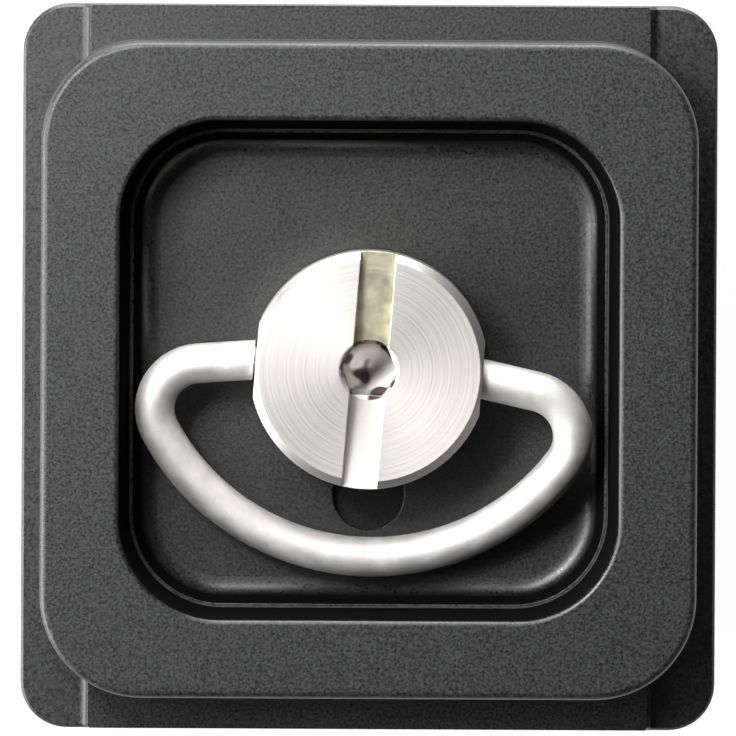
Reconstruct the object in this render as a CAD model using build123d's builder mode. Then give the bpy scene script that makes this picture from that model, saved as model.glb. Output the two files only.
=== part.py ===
# Tripod quick release plate, in millimetres.
# The origin is on the camera screw's axis, in the face of the rubber pad that the camera stands on.
# +Z points away from the camera, out of the clamp side. +Y runs along the dovetail.
import os
from math import asin, degrees, radians, tan

from build123d import *

# Dovetail, flange and end strips of the plate
dovetail_w = 38.0
dovetail_l = 38.0
dovetail_corner_r = 5.9
flank_run = 2.75
flank_angle = 45.0
land_h = 1.85
face_edge_r = 0.4
waist_h = 1.4
waist_root_r = 0.5
flange_h = 3.4
flange_lip = 1.15
flange_end_lip = 2.0
flange_corner_r = 2.7
flange_edge = 0.15
end_strip_h = 0.6

# Pocket that holds the screw's head and the ring
pocket_w = 28.9
pocket_l = 28.9
pocket_corner_r = 6.0
pocket_depth = 5.6
pocket_draft = 8.2
pocket_edge_r = 0.35
ledge_w = 0.2
lower_wall_h = 0.1
floor_r = 1.5
dimple_d = 4.2
dimple_depth = 0.5
dimple_offset = 7.35

# Rubber pad on the camera side
pad_t = 1.6
pad_proud = 0.6
pad_rim_w = 2.1
pad_corner_r = 1.6
pad_edge = 0.3
pad_gap = 0.1
pad_groove_w = 0.9
pad_groove_depth = 0.5
pad_groove_pitch = 2.6
pad_border_w = 2.4
pad_collar_w = 2.2

# Camera screw: the quarter inch camera thread on a coin-slotted head
thread_d = 6.35
thread_reach = 4.5
thread_tip = 0.6
neck_gap = 0.075
seat_gap = 0.02
head_d = 13.8
head_recess = 0.7
head_edge = 0.45
head_root_edge = 0.3
flat_cut = 0.33
coin_slot_w = 2.05
coin_slot_depth = 1.1
coin_cutter_d = 80.0
hex_across_flats = 3.0
hex_depth = 2.4
hex_mouth = 0.25
drill_point_angle = 118.0
screw_turn = -4.5

# Retaining ring in the screw's groove
clip_groove_d = 5.0
clip_t = 0.7
clip_drop = 0.35
clip_outer_d = 11.3
clip_band_w = 1.35
clip_mouth_w = 4.1
clip_toe_w = 2.2
clip_toe_angle = 70.0
clip_fit_gap = 0.05
clip_side_gap = 0.05
clip_well_gap = 0.6
clip_well_depth = 0.7

# Pull ring of bent wire, with a turned pin at each end
ring_wire_d = 2.3
ring_end_inset = 2.59
ring_corner_inset = 0.55
ring_corner_drop = 1.0
ring_bend_r = 2.7
ring_over_ledge = 1.5
ring_rest_gap = 0.12
ring_shoulder_gap = 0.07
ring_side_play = 0.05
ring_pin_d = 1.5
ring_pin_l = 2.7
ring_pin_gap = 0.05
ring_pin_end_gap = 0.3

# Widths and lengths that follow from the dovetail
waist_w = dovetail_w - 2 * flank_run
flange_w = dovetail_w + 2 * flange_lip
flange_l = dovetail_l + 2 * flange_end_lip
pad_recess_w = flange_w - 2 * pad_rim_w
pad_recess_l = flange_l - 2 * pad_rim_w

# Levels, from the camera side to the clamp side
rim_z = pad_proud
pad_seat_z = pad_t
clip_stop_z = pad_seat_z + clip_well_depth
flange_z = rim_z + flange_h
strip_z = flange_z + end_strip_h
waist_z = flange_z + waist_h
flank_z = waist_z + flank_run / tan(radians(flank_angle))
face_z = flank_z + land_h
floor_z = face_z - pocket_depth
ledge_z = floor_z + floor_r + lower_wall_h
head_z = floor_z + seat_gap
head_top_z = face_z - head_recess
pivot_z = ledge_z + ring_over_ledge

# Pocket outline at the ledge, where the drafted wall ends
draft_in = (face_z - ledge_z) * tan(radians(pocket_draft))
lower_w = pocket_w - 2 * draft_in - 2 * ledge_w
lower_l = pocket_l - 2 * draft_in - 2 * ledge_w
lower_corner_r = pocket_corner_r - draft_in - ledge_w

# Retaining ring's well, shared by the plate and the pad
clip_well_r = clip_outer_d / 2 + clip_well_gap
clip_inner_r = clip_groove_d / 2 + clip_fit_gap

# Screw head and ring: both stand turned a little about the screw's axis, and the ring lies over to one side
flat_x = head_d / 2 - flat_cut
shoulder_x = flat_x + ring_shoulder_gap
ring_reach = min(lower_w, lower_l) / 2 - ring_end_inset
ring_tilt = degrees(asin((pivot_z - floor_z - ring_wire_d / 2 - ring_rest_gap) / ring_reach))
turned = Plane.XY.rotated((0, 0, screw_turn))
across = Plane(origin=(0, 0, 0), x_dir=turned.y_dir, z_dir=turned.x_dir)
pivot_plane = turned.offset(pivot_z)
ring_plane = Plane(pivot_plane.location * Location((-ring_side_play, 0, 0), (ring_tilt, 0, 0)))


def side_plane(frame, side, distance):
    """A plane across the pivot axis of a frame, facing the frame's centre, on side 1 or -1."""
    return Plane(origin=frame.from_local_coords((side * distance, 0, 0)), z_dir=frame.x_dir * -side)


def mill_outline(low, high, width, length, corner_r):
    """Cuts away what lies outside a rounded rectangle, between two levels."""
    with BuildSketch(Plane.XY.offset(low)) as waste:
        Rectangle(2 * flange_w, 2 * flange_l)
        RectangleRounded(width, length, corner_r, mode=Mode.SUBTRACT)
    extrude(waste.sketch, amount=high - low, mode=Mode.SUBTRACT)


# Plate: a dovetail bar with milled ends and a drafted pocket
with BuildPart() as plate_body:
    with BuildSketch(Plane.XZ) as section:
        with BuildLine():
            Polyline(
                (0, rim_z),
                (flange_w / 2, rim_z),
                (flange_w / 2, flange_z),
                (waist_w / 2, flange_z),
                (waist_w / 2, waist_z),
                (dovetail_w / 2, flank_z),
                (dovetail_w / 2, face_z),
                (0, face_z),
            )
            mirror(about=Plane.YZ)
        make_face()
        waist_points = section.vertices().group_by(lambda v: round(abs(v.X), 3))[0]
        fillet(waist_points, radius=waist_root_r)
    extrude(amount=flange_l / 2, both=True)
    mill_outline(rim_z, strip_z, flange_w, flange_l, flange_corner_r)
    mill_outline(strip_z, face_z, dovetail_w, dovetail_l, dovetail_corner_r)
    flange_sides = plate_body.edges().filter_by(Axis.Y).group_by(lambda e: round(abs(e.center().X), 3))[-1]
    chamfer(flange_sides, length=flange_edge)
    fillet(plate_body.faces().sort_by(Axis.Z)[-1].edges(), radius=face_edge_r)

    # Pocket: a drafted upper wall, a narrow ledge, and a lower wall that rounds into the floor
    with BuildSketch(Plane.XY.offset(face_z)):
        RectangleRounded(pocket_w, pocket_l, pocket_corner_r)
    extrude(amount=ledge_z - face_z, taper=pocket_draft, mode=Mode.SUBTRACT)
    with BuildSketch(Plane.XY.offset(ledge_z)):
        RectangleRounded(lower_w, lower_l, lower_corner_r)
    extrude(amount=floor_z - ledge_z, mode=Mode.SUBTRACT)
    pocket_floor = plate_body.faces().filter_by(Axis.Z).sort_by(lambda f: abs(f.center().Z - floor_z))[0]
    fillet(pocket_floor.edges(), radius=floor_r)
    clamp_face = plate_body.faces().sort_by(Axis.Z)[-1]
    fillet(clamp_face.inner_wires()[0].edges(), radius=pocket_edge_r)

    # Dimple in the pocket's floor, half under the screw's head
    with BuildSketch(Plane.XY.offset(floor_z)):
        with Locations((0, -dimple_offset)):
            Circle(dimple_d / 2)
    extrude(amount=-dimple_depth, mode=Mode.SUBTRACT)

    # Camera side: the pad's recess, and the screw's hole with a well for the retaining ring
    with BuildSketch(Plane.XY.offset(rim_z)):
        RectangleRounded(pad_recess_w, pad_recess_l, pad_corner_r)
    extrude(amount=pad_seat_z - rim_z, mode=Mode.SUBTRACT)
    with Locations(Plane(origin=(0, 0, pad_seat_z), z_dir=(0, 0, -1))):
        CounterBoreHole(thread_d / 2 + neck_gap, clip_well_r, clip_well_depth)

# Rubber pad: bedded in its recess, with closed grooves and a plain collar round the screw
with BuildPart() as camera_pad:
    pad_w = pad_recess_w - 2 * pad_gap
    pad_l = pad_recess_l - 2 * pad_gap
    groove_count = int((pad_l - 2 * pad_border_w) / pad_groove_pitch)
    with BuildSketch():
        RectangleRounded(pad_w, pad_l, pad_corner_r - pad_gap)
    extrude(amount=pad_t)
    chamfer(camera_pad.faces().sort_by(Axis.Z)[0].edges(), length=pad_edge)
    with BuildSketch():
        with GridLocations(0, pad_groove_pitch, 1, groove_count):
            Rectangle(pad_w - 2 * pad_border_w, pad_groove_w)
        Circle(clip_well_r + pad_collar_w, mode=Mode.SUBTRACT)
    extrude(amount=pad_groove_depth, mode=Mode.SUBTRACT)
    Hole(clip_well_r)

# Camera screw: turned in one piece, then slotted, socketed, flatted and cross-drilled
with BuildPart() as camera_screw:
    groove_z0 = clip_drop - clip_side_gap
    groove_z1 = clip_drop + clip_t + clip_side_gap
    slot_floor_z = head_top_z - coin_slot_depth
    hex_floor_z = slot_floor_z - hex_depth
    with BuildSketch(Plane.XZ):
        with BuildLine():
            Polyline(
                (0, -thread_reach),
                (thread_d / 2 - thread_tip, -thread_reach),
                (thread_d / 2, thread_tip - thread_reach),
                (thread_d / 2, groove_z0),
                (clip_groove_d / 2, groove_z0),
                (clip_groove_d / 2, groove_z1),
                (thread_d / 2, groove_z1),
                (thread_d / 2, head_z),
                (head_d / 2 - head_root_edge, head_z),
                (head_d / 2, head_z + head_root_edge),
                (head_d / 2, head_top_z - head_edge),
                (head_d / 2 - head_edge, head_top_z),
                (0, head_top_z),
                close=True,
            )
        make_face()
    revolve(axis=Axis.Z)
    with BuildSketch(turned.offset(head_z)):
        with Locations((flat_x + flat_cut, 0), (-flat_x - flat_cut, 0)):
            Rectangle(2 * flat_cut, head_d)
    extrude(amount=head_top_z - head_z, mode=Mode.SUBTRACT)
    with BuildSketch(across):
        with Locations((0, slot_floor_z + coin_cutter_d / 2)):
            Circle(coin_cutter_d / 2)
    extrude(amount=coin_slot_w / 2, both=True, mode=Mode.SUBTRACT)
    with BuildSketch(turned.offset(head_top_z)):
        RegularPolygon(hex_across_flats / 2, 6, major_radius=False)
    extrude(amount=hex_floor_z - head_top_z, mode=Mode.SUBTRACT)
    drill_r = hex_across_flats / 2
    drill_point_h = drill_r / tan(radians(drill_point_angle / 2))
    with Locations((0, 0, hex_floor_z - drill_point_h / 2)):
        Cone(0, drill_r, drill_point_h, mode=Mode.SUBTRACT)
    with Locations((0, 0, head_top_z - hex_mouth / 2)):
        Cone(drill_r, drill_r + hex_mouth, hex_mouth, mode=Mode.SUBTRACT)
    for side in (1, -1):
        with BuildSketch(side_plane(pivot_plane, side, flat_x)):
            Circle(ring_pin_d / 2 + ring_pin_gap)
        extrude(amount=ring_pin_l - ring_shoulder_gap + ring_pin_end_gap, mode=Mode.SUBTRACT)

# Retaining ring: a flat stamping with three toes in the groove and an open mouth
with BuildPart() as retaining_ring:
    with BuildSketch(Plane.XY.offset(clip_drop)):
        Circle(clip_outer_d / 2)
        Circle(clip_outer_d / 2 - clip_band_w, mode=Mode.SUBTRACT)
        toe_reach = (clip_outer_d - clip_band_w) / 2
        for angle in (90, clip_toe_angle - 90, -90 - clip_toe_angle):
            with PolarLocations(toe_reach / 2, 1, start_angle=angle):
                Rectangle(toe_reach, clip_toe_w)
        Circle(clip_inner_r, mode=Mode.SUBTRACT)
        with Locations((0, -clip_outer_d / 2)):
            Rectangle(clip_mouth_w, clip_outer_d, mode=Mode.SUBTRACT)
    extrude(amount=clip_t)

# Pull ring: one wire, bent at two corners into a shallow bow
with BuildPart() as pull_ring:
    corner_x = min(lower_w, lower_l) / 2 + ledge_w - ring_corner_inset
    leg_slope = ring_corner_drop / (corner_x - shoulder_x)
    leg_end = (shoulder_x - ring_wire_d / 2, leg_slope * ring_wire_d / 2)
    with BuildLine(ring_plane) as ring_path:
        Line((-leg_end[0], leg_end[1]), (-corner_x, -ring_corner_drop))
        ThreePointArc((-corner_x, -ring_corner_drop), (0, -ring_reach), (corner_x, -ring_corner_drop))
        Line((corner_x, -ring_corner_drop), leg_end)
        corners = ring_path.vertices().sort_by(Axis.X)[::3]
        fillet(corners, radius=ring_bend_r)
    wire_path = ring_path.wires()[0]
    with BuildSketch(Plane(origin=wire_path @ 0, z_dir=wire_path % 0)):
        Circle(ring_wire_d / 2)
    sweep(path=wire_path)
    with BuildSketch(ring_plane):
        Rectangle(2 * shoulder_x, 2 * ring_wire_d)
    extrude(amount=ring_wire_d, both=True, mode=Mode.SUBTRACT)
    for side in (1, -1):
        with BuildSketch(side_plane(ring_plane, side, shoulder_x)):
            Circle(ring_pin_d / 2)
        extrude(amount=ring_pin_l)

os.makedirs("parts", exist_ok=True)
pieces = {
    "plate_body": plate_body,
    "camera_pad": camera_pad,
    "camera_screw": camera_screw,
    "retaining_ring": retaining_ring,
    "pull_ring": pull_ring,
}
for name, piece in pieces.items():
    piece.part.label = name
    export_step(piece.part, f"parts/{name}.step")
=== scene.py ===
from math import cos, pi, radians, sin, tan

import bmesh
import bpy
from mathutils import Matrix, Vector


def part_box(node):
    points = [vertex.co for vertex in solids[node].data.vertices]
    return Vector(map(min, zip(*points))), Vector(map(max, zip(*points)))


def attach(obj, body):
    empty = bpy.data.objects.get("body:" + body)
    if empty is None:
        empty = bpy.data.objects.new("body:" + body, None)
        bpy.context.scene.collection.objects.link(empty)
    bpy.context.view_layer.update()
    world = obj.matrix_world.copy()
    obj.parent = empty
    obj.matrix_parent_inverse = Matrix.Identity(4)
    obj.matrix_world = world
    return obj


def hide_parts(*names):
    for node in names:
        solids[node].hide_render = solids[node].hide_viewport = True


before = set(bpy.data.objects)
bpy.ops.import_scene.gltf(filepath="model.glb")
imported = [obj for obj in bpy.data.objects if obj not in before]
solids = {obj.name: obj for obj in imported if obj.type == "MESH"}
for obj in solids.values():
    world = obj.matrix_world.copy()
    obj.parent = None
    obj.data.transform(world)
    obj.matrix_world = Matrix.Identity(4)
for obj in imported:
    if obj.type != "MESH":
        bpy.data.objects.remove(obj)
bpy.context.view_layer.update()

# Places in metres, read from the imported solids
mm = 0.001
screw_low, screw_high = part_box("camera_screw")
clip_low_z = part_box("retaining_ring")[0].z
face_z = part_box("plate_body")[1].z
head_top_z = screw_high.z
screw_tip_z = screw_low.z

# Camera thread: a quarter inch, 20 threads per inch, with 60 degree teeth
thread_r = 3.175 * mm
thread_pitch = 25.4 * mm / 20
thread_crest = thread_pitch / 8
thread_root = thread_pitch / 4
thread_flank = (thread_pitch - thread_crest - thread_root) / 2
thread_depth = thread_flank / tan(radians(30))
thread_tip = 0.6 * mm
thread_top_z = clip_low_z - 0.05 * mm
thread_steps = 72
thread_spare_turns = 2

# Screw's meshes: the overlap of head and thread, the gaps that are merged, and the angle of a sharp edge
neck_overlap = 0.05 * mm
head_merge = 0.0001 * mm
thread_merge = 0.0005 * mm
crease = radians(30)

# Screw head: the turn it is left at, its coin slot and socket, and the spacing of its turning marks
head_turn = radians(-4.5)
slot_half_w = 1.025 * mm
slot_seen_z = head_top_z - 0.3 * mm
socket_r = 1.75 * mm
socket_seen_z = head_top_z - 0.1 * mm
mark_spacing = 0.11 * mm

# Yellowish painted shade in the slot, and painted highlight, painted shade and dark specks in the socket
dark_slot_shade = (0.54, 0.51, 0.37, 1)
pale_slot_shade = (0.90, 0.87, 0.64, 1)
socket_shade_brown = (0.16, 0.11, 0.08, 1)
dark_socket_specks = (0.04, 0.025, 0.02, 1)

# Pocket in the plate: half its width at the foot of its rounded rim, its floor, the floor of its dimple,
# and the width over which one finish blends into the next
pocket_half_w = 14.45 * mm
pocket_floor_z = face_z - 5.6 * mm
dimple_floor_z = pocket_floor_z - 0.5 * mm
blend_w = 0.1 * mm

# Black coat: anodised aluminium oxide mirrors a little more light than a plain lacquer. Its roughness is
# lower by a polish on rubbed edges and on the fillet of the pocket's floor
anodised_ior = 1.63
# Share of painted shade on the dimple's floor, which lies in the screw head's shadow
dimple_shade_share = 0.5
edge_polish = 0.16
fillet_polish = 0.10

# Stage: the floor's half width and levels, and the room's levels with the angles between which they change
floor_half_w = 1.5
floor_glow = 0.92
floor_grey = 0.25
room_pale = 0.9
room_dim = 0.03
room_pale_up_to = radians(-25)
room_dim_from = radians(5)

# Photograph: straight down on the clamp face, a little from the far side
picture_w = 42.55 * mm
view_distance = 1.5
view_reach = 10
view_lean = radians(2.0)
view_roll = radians(0.3)
view_aim = Vector((-0.06 * mm, 0.17 * mm, face_z))
sensor_w = 36.0


# Building blocks of the finishes

def feed(finish, socket, value):
    """Sets an input of a node, or links another node's output to it."""
    if isinstance(value, bpy.types.NodeSocket):
        finish.node_tree.links.new(value, socket)
    else:
        socket.default_value = value


def add_node(finish, kind, inputs=(), **settings):
    """Adds a node to a finish, with its settings and inputs."""
    node = finish.node_tree.nodes.new("ShaderNode" + kind)
    for name, value in settings.items():
        setattr(node, name, value)
    for socket, value in dict(inputs).items():
        feed(finish, node.inputs[socket], value)
    return node


def place_on_piece(finish):
    """The point on the piece, in metres in the shared frame."""
    return add_node(finish, "TexCoord").outputs["Object"]


def split_axes(finish, vector):
    """A vector's X, Y and Z."""
    return add_node(finish, "SeparateXYZ", {"Vector": vector}).outputs


def grain(finish, size, detail, rough=0.6):
    """Cloudy noise with features of about this size."""
    inputs = {"Vector": place_on_piece(finish), "Scale": 1 / size, "Detail": detail, "Roughness": rough}
    return add_node(finish, "TexNoise", inputs).outputs["Fac"]


def spread(finish, value, source, target=(0, 1)):
    """Turns a value that runs over the source range into one that runs over the target range."""
    inputs = {
        "Value": value,
        "From Min": source[0],
        "From Max": source[1],
        "To Min": target[0],
        "To Max": target[1],
    }
    return add_node(finish, "MapRange", inputs).outputs["Result"]


def reckon(finish, operation, first, second=0.0):
    """Works out one number from two."""
    node = add_node(finish, "Math", operation=operation)
    feed(finish, node.inputs[0], first)
    feed(finish, node.inputs[1], second)
    return node.outputs[0]


def overlap(finish, *shares):
    """The product of shares: 1 only where each of them is 1."""
    product = shares[0]
    for share in shares[1:]:
        product = reckon(finish, "MULTIPLY", product, share)
    return product


def mix_colours(finish, share, first, second):
    """The first colour where share is 0, the second where it is 1."""
    node = add_node(finish, "Mix", data_type="RGBA")
    feed(finish, node.inputs[0], share)
    feed(finish, node.inputs[6], first)
    feed(finish, node.inputs[7], second)
    return node.outputs[2]


def grey(level, warmth=0.0):
    """A grey, with a little more red and less blue where it is warm."""
    return (level * (1 + warmth), level, level * (1 - warmth), 1)


def worn_edges(finish, width):
    """1 on outer edges, where a finish wears first, and 0 on the faces between them."""
    inputs = {"Distance": width}
    edge = add_node(finish, "AmbientOcclusion", inputs, samples=8, inside=True, only_local=True)
    return spread(finish, edge.outputs["AO"], (0.95, 0.55))


def broken_edges(finish, width):
    """Surface directions that round off sharp edges by a hair."""
    return add_node(finish, "Bevel", {"Radius": width}, samples=6).outputs["Normal"]


def raise_surface(finish, height, depth, strength, normal):
    """Surface directions of a relief of this depth."""
    inputs = {"Height": height, "Distance": depth, "Strength": strength, "Normal": normal}
    return add_node(finish, "Bump", inputs).outputs["Normal"]


def start_finish(name, metal=0.0):
    """A finish and its shader."""
    finish = bpy.data.materials.new(name)
    finish.use_nodes = True
    shader = finish.node_tree.nodes["Principled BSDF"]
    shader.inputs["Metallic"].default_value = metal
    return finish, shader


def paint(finish, shader, colour, rough, normal):
    """Feeds a shader its colour, roughness and relief."""
    feed(finish, shader.inputs["Base Color"], colour)
    feed(finish, shader.inputs["Roughness"], rough)
    feed(finish, shader.inputs["Normal"], normal)
    return finish


# Plate and pad

def in_pocket(finish, place):
    """1 within the pocket's walls, and 0 round them."""
    across = reckon(finish, "ABSOLUTE", place["X"])
    along = reckon(finish, "ABSOLUTE", place["Y"])
    reach = reckon(finish, "MAXIMUM", across, along)
    return spread(finish, reach, (pocket_half_w + blend_w, pocket_half_w))


def pocket_slopes(finish, gentle, sharp):
    """1 on the pocket's slopes that face up less than sharp, and 0 where they face up more than gentle."""
    place = split_axes(finish, place_on_piece(finish))
    facing = split_axes(finish, add_node(finish, "TexCoord").outputs["Normal"])
    steep = spread(finish, facing["Z"], (gentle, sharp))
    above_dimple = spread(finish, place["Z"], (dimple_floor_z + 2 * blend_w, dimple_floor_z + 3 * blend_w))
    return overlap(finish, in_pocket(finish, place), above_dimple, steep)


def dimple_floor(finish):
    """1 within the pocket's walls at the level of the dimple's floor, and 0 elsewhere."""
    place = split_axes(finish, place_on_piece(finish))
    off_level = reckon(finish, "ABSOLUTE", reckon(finish, "SUBTRACT", place["Z"], dimple_floor_z))
    return overlap(finish, in_pocket(finish, place), spread(finish, off_level, (2 * blend_w, blend_w)))


def make_black_coat():
    """Fine-grained black anodised coat, rubbed on its edges, with painted shade on the pocket's steep walls
    and the dimple's floor: near-black colour and no shine there.
    """
    finish, shader = start_finish("black_coat")
    speckle = grain(finish, size=0.17 * mm, detail=2.0, rough=0.7)
    cloud = grain(finish, size=2.5 * mm, detail=3.0, rough=0.5)
    scuff = grain(finish, size=0.5 * mm, detail=4.0, rough=0.7)
    edges = worn_edges(finish, width=0.25 * mm)
    wear = overlap(finish, edges, spread(finish, scuff, (0.42, 0.62), (0, 0.35)))
    steep = pocket_slopes(finish, gentle=0.92, sharp=0.70)
    rounded = pocket_slopes(finish, gentle=0.998, sharp=0.97)
    # Painted shade: the pocket's steep walls and the dimple's floor, which lie in shade, are made near
    # black
    painted_shade = reckon(finish, "MAXIMUM", steep, overlap(finish, dimple_floor(finish), dimple_shade_share))
    dots = spread(finish, speckle, (0.35, 0.65))
    colour = mix_colours(finish, dots, grey(0.002, -0.02), grey(0.028, -0.02))
    colour = mix_colours(finish, painted_shade, colour, grey(0.004, -0.02))
    colour = mix_colours(finish, wear, colour, grey(0.10))
    rough = spread(finish, cloud, (0.3, 0.7), (0.44, 0.47))
    rough = reckon(finish, "ADD", rough, spread(finish, speckle, (0.3, 0.7), (-0.10, 0.10)))
    rough = reckon(finish, "SUBTRACT", rough, overlap(finish, edges, edge_polish))
    rough = reckon(finish, "SUBTRACT", rough, overlap(finish, rounded, fillet_polish))
    relief = spread(finish, rounded, (0, 0.4), (0.7, 0.2))
    edge_normal = broken_edges(finish, width=0.07 * mm)
    normal = raise_surface(finish, speckle, depth=0.016 * mm, strength=relief, normal=edge_normal)
    shader.inputs["IOR"].default_value = anodised_ior
    # Painted shade also takes the shine off the shaded walls and dimple floor
    feed(finish, shader.inputs["Specular IOR Level"], spread(finish, painted_shade, (0, 1), (0.5, 0)))
    return paint(finish, shader, colour, rough, normal)


def make_pad_rubber():
    """Matt moulded rubber with a fine grain."""
    finish, shader = start_finish("pad_rubber")
    pores = grain(finish, size=0.12 * mm, detail=3.0, rough=0.65)
    dust = grain(finish, size=3.0 * mm, detail=4.0, rough=0.6)
    colour = mix_colours(finish, spread(finish, dust, (0.4, 0.75)), grey(0.016), grey(0.030, 0.05))
    rough = spread(finish, pores, (0.3, 0.7), (0.68, 0.85))
    edge_normal = broken_edges(finish, width=0.15 * mm)
    normal = raise_surface(finish, pores, depth=0.015 * mm, strength=0.6, normal=edge_normal)
    return paint(finish, shader, colour, rough, normal)


# Steel pieces

def shade_slot(finish, place, plating):
    """Adds a yellowish tint with painted shade to the plating in the far half of the coin slot, where its
    floor faces away from the light.
    """
    in_slot = reckon(finish, "LESS_THAN", reckon(finish, "ABSOLUTE", place["X"]), slot_half_w)
    sunk = reckon(finish, "LESS_THAN", place["Z"], slot_seen_z)
    far_half = spread(finish, place["Y"], (0.5 * socket_r, 0.7 * socket_r))
    blotches = spread(finish, grain(finish, size=1.3 * mm, detail=2.0), (0.36, 0.62))
    # Painted shade: a yellowish tint, blotched between darker and paler tones, over the far half of the
    # slot
    slot_shade = mix_colours(finish, blotches, dark_slot_shade, pale_slot_shade)
    return mix_colours(finish, overlap(finish, in_slot, sunk, far_half), plating, slot_shade)


def paint_socket_light(finish, place, radius, plating):
    """Paints a highlight over the plating in the socket, painted brown shade on one side near its rim, and
    dark specks.
    """
    within = reckon(finish, "LESS_THAN", radius, socket_r)
    sunk = reckon(finish, "LESS_THAN", place["Z"], socket_seen_z)
    in_socket = overlap(finish, within, sunk)
    uphill = reckon(finish, "SUBTRACT", place["Y"], place["X"])
    one_side = spread(finish, uphill, (-0.2 * socket_r, 0.8 * socket_r), (0, 0.9))
    near_rim = spread(finish, radius, (0.6 * socket_r, 0.9 * socket_r))
    specks = spread(finish, grain(finish, size=0.85 * mm, detail=0.0), (0.54, 0.64), (0, 0.95))
    # Painted highlight: the socket's plating is made nearly white
    colour = mix_colours(finish, in_socket, plating, grey(0.96, 0.03))
    # Painted shade: brown on the side of the socket's rim whose wall faces away from the light
    colour = mix_colours(finish, overlap(finish, in_socket, one_side, near_rim), colour, socket_shade_brown)
    # Dark specks scattered in the socket
    return mix_colours(finish, overlap(finish, in_socket, specks), colour, dark_socket_specks)


def make_turned_steel():
    """Bright plated steel of the screw's head, with turning marks round its axis, yellowish painted shade
    in its slot, and painted highlight and shade in its socket.
    """
    finish, shader = start_finish("turned_steel", metal=1.0)
    inputs = {"Vector": place_on_piece(finish), "Rotation": (0, 0, head_turn)}
    spot = add_node(finish, "Mapping", inputs, vector_type="TEXTURE").outputs["Vector"]
    place = split_axes(finish, spot)
    flat = add_node(finish, "VectorMath", {0: spot, 1: (1, 1, 0)}, operation="MULTIPLY").outputs["Vector"]
    radius = add_node(finish, "VectorMath", {0: flat}, operation="LENGTH").outputs["Value"]
    inputs = {"W": radius, "Scale": 1 / mark_spacing, "Detail": 2.0}
    marks = add_node(finish, "TexNoise", inputs, noise_dimensions="1D").outputs["Fac"]
    mottle = grain(finish, size=1.2 * mm, detail=3.0, rough=0.5)
    colour = mix_colours(finish, spread(finish, mottle, (0.3, 0.7)), grey(0.735, 0.045), grey(0.765, 0.04))
    colour = shade_slot(finish, place, colour)
    colour = paint_socket_light(finish, place, radius, colour)
    rough = spread(finish, marks, (0.3, 0.7), (0.46, 0.53))
    edge_normal = broken_edges(finish, width=0.06 * mm)
    normal = raise_surface(finish, marks, depth=0.002 * mm, strength=0.5, normal=edge_normal)
    shader.inputs["Anisotropic"].default_value = 0.33
    shader.inputs["Anisotropic Rotation"].default_value = 0.25
    tangent = add_node(finish, "Tangent", direction_type="RADIAL", axis="Z").outputs["Tangent"]
    feed(finish, shader.inputs["Tangent"], tangent)
    return paint(finish, shader, colour, rough, normal)


def make_thread_steel():
    """Bright plated steel of the thread, a little mottled."""
    finish, shader = start_finish("thread_steel", metal=1.0)
    mottle = grain(finish, size=0.6 * mm, detail=3.0, rough=0.6)
    fine = grain(finish, size=0.08 * mm, detail=2.0, rough=0.5)
    colour = mix_colours(finish, spread(finish, mottle, (0.35, 0.7)), grey(0.58, 0.02), grey(0.74, 0.02))
    rough = spread(finish, mottle, (0.3, 0.7), (0.24, 0.36))
    edge_normal = broken_edges(finish, width=0.05 * mm)
    normal = raise_surface(finish, fine, depth=0.003 * mm, strength=0.4, normal=edge_normal)
    return paint(finish, shader, colour, rough, normal)


def make_spring_steel():
    """Dark stamped spring steel of the retaining ring, rubbed bright on its edges."""
    finish, shader = start_finish("spring_steel", metal=1.0)
    mottle = grain(finish, size=0.7 * mm, detail=4.0, rough=0.6)
    fine = grain(finish, size=0.1 * mm, detail=2.0, rough=0.5)
    wear = worn_edges(finish, width=0.15 * mm)
    colour = mix_colours(finish, spread(finish, mottle, (0.35, 0.7)), grey(0.17, 0.02), grey(0.27, 0.02))
    colour = mix_colours(finish, wear, colour, grey(0.5, 0.01))
    rough = spread(finish, mottle, (0.3, 0.7), (0.32, 0.46))
    edge_normal = broken_edges(finish, width=0.06 * mm)
    normal = raise_surface(finish, fine, depth=0.004 * mm, strength=0.4, normal=edge_normal)
    return paint(finish, shader, colour, rough, normal)


def make_wire_steel():
    """Satin bright wire of the pull ring."""
    finish, shader = start_finish("wire_steel", metal=1.0)
    mottle = grain(finish, size=1.0 * mm, detail=4.0, rough=0.6)
    fine = grain(finish, size=0.16 * mm, detail=3.0, rough=0.65)
    shade = reckon(finish, "ADD", overlap(finish, mottle, 0.6), overlap(finish, fine, 0.4))
    colour = mix_colours(finish, spread(finish, shade, (0.32, 0.68)), grey(0.77, 0.035), grey(0.90, 0.03))
    rough = spread(finish, shade, (0.35, 0.65), (0.60, 0.74))
    edge_normal = broken_edges(finish, width=0.08 * mm)
    normal = raise_surface(finish, fine, depth=0.008 * mm, strength=0.6, normal=edge_normal)
    return paint(finish, shader, colour, rough, normal)


def dress(piece, finish):
    """Gives a piece one finish all over."""
    piece.data.materials.clear()
    piece.data.materials.append(finish)


# Screw: its head as the solid has it, on a real thread

def cut_level(shape, level, side):
    """Cuts a shape off square at a level, above it for side 1 or below it for side -1, and closes it."""
    everything = shape.verts[:] + shape.edges[:] + shape.faces[:]
    cut = bmesh.ops.bisect_plane(
        shape, geom=everything, plane_co=(0, 0, level), plane_no=(0, 0, side), clear_outer=True
    )
    rim = [part for part in cut["geom_cut"] if isinstance(part, bmesh.types.BMEdge)]
    bmesh.ops.triangle_fill(shape, use_beauty=True, edges=rim, normal=(0, 0, side))


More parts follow.
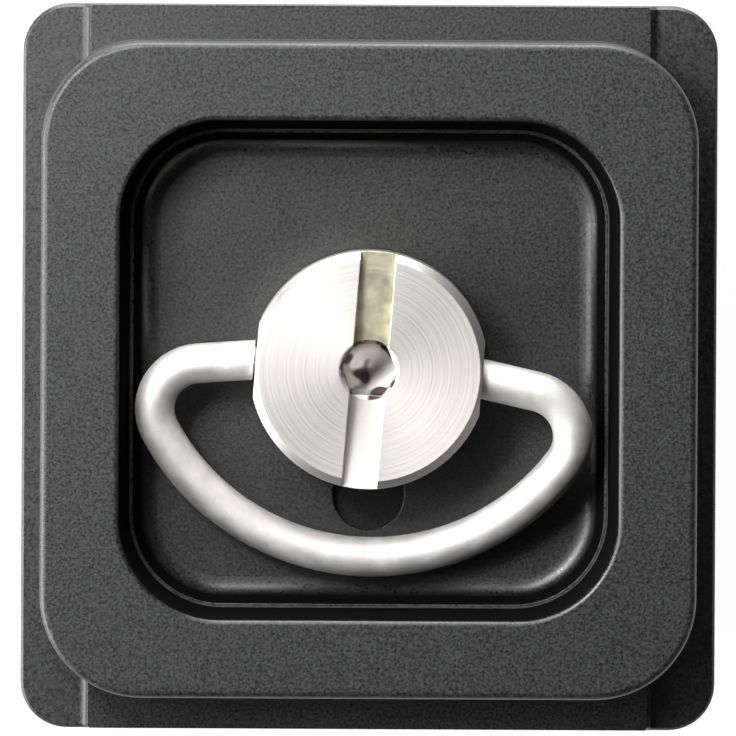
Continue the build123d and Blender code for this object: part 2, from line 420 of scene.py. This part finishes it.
def finish_piece(name, shape, body, finish):
    """Makes a piece of a shape, creased at its sharp edges, that rides on a body."""
    bmesh.ops.recalc_face_normals(shape, faces=shape.faces)
    mesh = bpy.data.meshes.new(name)
    shape.to_mesh(mesh)
    shape.free()
    if "custom_normal" in mesh.attributes:
        mesh.attributes.remove(mesh.attributes["custom_normal"])
    mesh.shade_smooth()
    mesh.set_sharp_from_angle(angle=crease)
    piece = bpy.data.objects.new(name, mesh)
    bpy.context.scene.collection.objects.link(piece)
    dress(piece, finish)
    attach(piece, body)
    return piece


def take_screw_head(finish):
    """The screw's head and neck, down to the top of its thread."""
    head = bmesh.new()
    head.from_mesh(solids["camera_screw"].data)
    bmesh.ops.remove_doubles(head, verts=head.verts, dist=head_merge)
    cut_level(head, thread_top_z + neck_overlap, -1)
    return finish_piece("screw_head", head, "screw", finish)


def wind_thread(finish):
    """One tooth's outline wound up the screw, cut off square at both ends and pointed at the tip."""
    thread = bmesh.new()
    root_r = thread_r - thread_depth
    turns = int((thread_top_z - screw_tip_z) / thread_pitch) + 2 * thread_spare_turns
    start_z = screw_tip_z - thread_spare_turns * thread_pitch
    tooth = (
        (root_r, 0),
        (root_r, thread_root),
        (thread_r, thread_root + thread_flank),
        (thread_r, thread_root + thread_flank + thread_crest),
        (root_r, thread_pitch),
    )
    corners = [thread.verts.new((r, 0, start_z + z)) for r, z in tooth]
    outline = [thread.edges.new(pair) for pair in zip(corners, corners[1:])]
    bmesh.ops.spin(
        thread,
        geom=corners + outline,
        cent=(0, 0, 0),
        axis=(0, 0, 1),
        dvec=(0, 0, thread_pitch / thread_steps),
        angle=2 * pi * turns,
        steps=thread_steps * turns,
        use_merge=False,
    )
    bmesh.ops.remove_doubles(thread, verts=thread.verts, dist=thread_merge)
    cut_level(thread, thread_top_z + neck_overlap, 1)
    cut_level(thread, screw_tip_z, -1)
    for vert in thread.verts:
        widest = thread_r - max(0, screw_tip_z + thread_tip - vert.co.z)
        reach = vert.co.xy.length
        if reach > widest:
            vert.co.xy *= widest / reach
    finish_piece("camera_thread", thread, "screw", finish)


# Stage

def make_white_floor():
    """White paper that shows the object's shadow, and is clear from below so that the camera side shows."""
    finish = bpy.data.materials.new("white_floor")
    finish.use_nodes = True
    nodes = finish.node_tree.nodes
    nodes.remove(nodes["Principled BSDF"])
    path = add_node(finish, "LightPath").outputs
    seen = reckon(finish, "MAXIMUM", path["Is Camera Ray"], path["Is Glossy Ray"])
    seen = reckon(finish, "MAXIMUM", seen, path["Is Transmission Ray"])
    glow = add_node(finish, "Emission", {"Strength": overlap(finish, seen, floor_glow)})
    paper = add_node(finish, "BsdfDiffuse", {"Color": grey(floor_grey)})
    top = add_node(finish, "AddShader", {0: glow.outputs[0], 1: paper.outputs[0]})
    clear = add_node(finish, "BsdfTransparent")
    below = add_node(finish, "NewGeometry").outputs["Backfacing"]
    sheet = add_node(finish, "MixShader", {0: below, 1: top.outputs[0], 2: clear.outputs[0]})
    feed(finish, nodes["Material Output"].inputs["Surface"], sheet.outputs[0])
    return finish


def make_floor():
    """A white floor under the screw's tip, mirrored in the metal but with no light or shade of its own."""
    shape = bmesh.new()
    bmesh.ops.create_grid(shape, x_segments=1, y_segments=1, size=floor_half_w)
    bmesh.ops.translate(shape, vec=(0, 0, screw_tip_z), verts=shape.verts)
    mesh = bpy.data.meshes.new("floor")
    shape.to_mesh(mesh)
    shape.free()
    floor = bpy.data.objects.new("floor", mesh)
    bpy.context.scene.collection.objects.link(floor)
    dress(floor, make_white_floor())
    floor.visible_shadow = False
    floor.visible_diffuse = False


def make_studio():
    """A pale room: white below the horizon, dim overhead."""
    world = bpy.data.worlds.new("studio")
    world.use_nodes = True
    bpy.context.scene.world = world
    room = world.node_tree.nodes["Background"]
    facing = split_axes(world, add_node(world, "TexCoord").outputs["Generated"])
    rise = (sin(room_pale_up_to), sin(room_dim_from))
    feed(world, room.inputs["Color"], spread(world, facing["Z"], rise, (room_pale, room_dim)))


def hang_lamp(name, azimuth, height, distance, size, watts):
    """A soft square lamp aimed at the plate, from angles round it and above the floor in degrees."""
    data = bpy.data.lights.new(name, "AREA")
    data.size = size
    data.energy = watts
    lamp = bpy.data.objects.new(name, data)
    bpy.context.scene.collection.objects.link(lamp)
    turn = radians(azimuth)
    rise = radians(height)
    away = Vector((cos(turn) * cos(rise), sin(turn) * cos(rise), sin(rise)))
    lamp.location = away * distance
    lamp.rotation_euler = away.to_track_quat("Z", "Y").to_euler()
    lamp.visible_camera = False


def set_camera():
    """A long lens over the clamp face, as in the photograph."""
    data = bpy.data.cameras.new("camera")
    data.sensor_width = sensor_w
    data.lens = sensor_w * view_distance / picture_w
    data.clip_end = view_reach
    camera = bpy.data.objects.new("camera", data)
    bpy.context.scene.collection.objects.link(camera)
    away = Vector((0, sin(view_lean), cos(view_lean)))
    turn = Matrix.Rotation(view_lean, 4, "X").inverted() @ Matrix.Rotation(view_roll, 4, "Z")
    camera.matrix_world = Matrix.Translation(view_aim + away * view_distance) @ turn
    bpy.context.scene.camera = camera


dress(solids["plate_body"], make_black_coat())
dress(solids["camera_pad"], make_pad_rubber())
dress(solids["retaining_ring"], make_spring_steel())
dress(solids["pull_ring"], make_wire_steel())
screw_head = take_screw_head(make_turned_steel())
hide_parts("camera_screw")
wind_thread(make_thread_steel())

make_floor()
make_studio()
hang_lamp("key_lamp", azimuth=138, height=56, distance=0.165, size=0.045, watts=0.198)
hang_lamp("left_lamp", azimuth=172, height=50, distance=0.19, size=0.05, watts=0.10)
hang_lamp("far_lamp", azimuth=106, height=50, distance=0.19, size=0.05, watts=0.10)
hang_lamp("left_panel", azimuth=190, height=8, distance=0.5, size=0.4, watts=5.8)
hang_lamp("far_panel", azimuth=92, height=9, distance=0.5, size=0.35, watts=5.0)
hang_lamp("fill_lamp", azimuth=225, height=72, distance=0.5, size=0.1, watts=0.012)
set_camera()
bpy.context.scene.view_settings.view_transform = "Standard"
